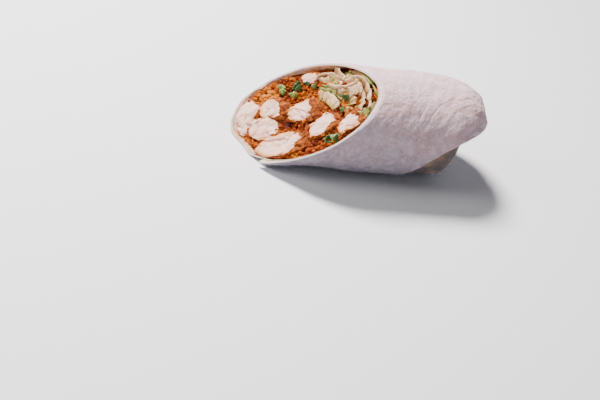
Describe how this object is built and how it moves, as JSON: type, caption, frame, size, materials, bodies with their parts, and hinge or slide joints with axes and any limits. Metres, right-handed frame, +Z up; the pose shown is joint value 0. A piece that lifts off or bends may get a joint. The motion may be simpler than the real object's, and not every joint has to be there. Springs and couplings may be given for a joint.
{
  "type": "chicken wrap half",
  "caption": "Half of a rolled flour tortilla, cut on the slant, filled with breaded chicken strips, shredded lettuce and crisp crumbs in sauce.",
  "frame": {"origin": "on the floor, in the middle of the flat strip that the roll rests on, below its axis", "axes": "+X along the roll from the slanted cut to the tucked end, -Y to the front, +Z up"},
  "size_m": [0.1362, 0.058, 0.0553],
  "materials": {
    "tortilla": "soft, dry flour tortilla with a fine flour bloom",
    "crumb": "crisp orange-brown crumbs wet with sauce",
    "chicken": "moist white chicken with a browned crumb coat",
    "lettuce": "crisp, pale, slightly see-through leaf",
    "spring_onion": "fresh cut spring onion"
  },
  "bodies": {
    "root": {"tortilla": "tortilla", "crumb_filling": "crumb", "chicken_1": "chicken", "chicken_2": "chicken", "chicken_3": "chicken", "chicken_4": "chicken", "chicken_5": "chicken", "chicken_6": "chicken", "chicken_7": "chicken", "chicken_8": "chicken", "lettuce_heap": "lettuce", "spring_onion": "spring_onion"}
  },
  "joints": []
}
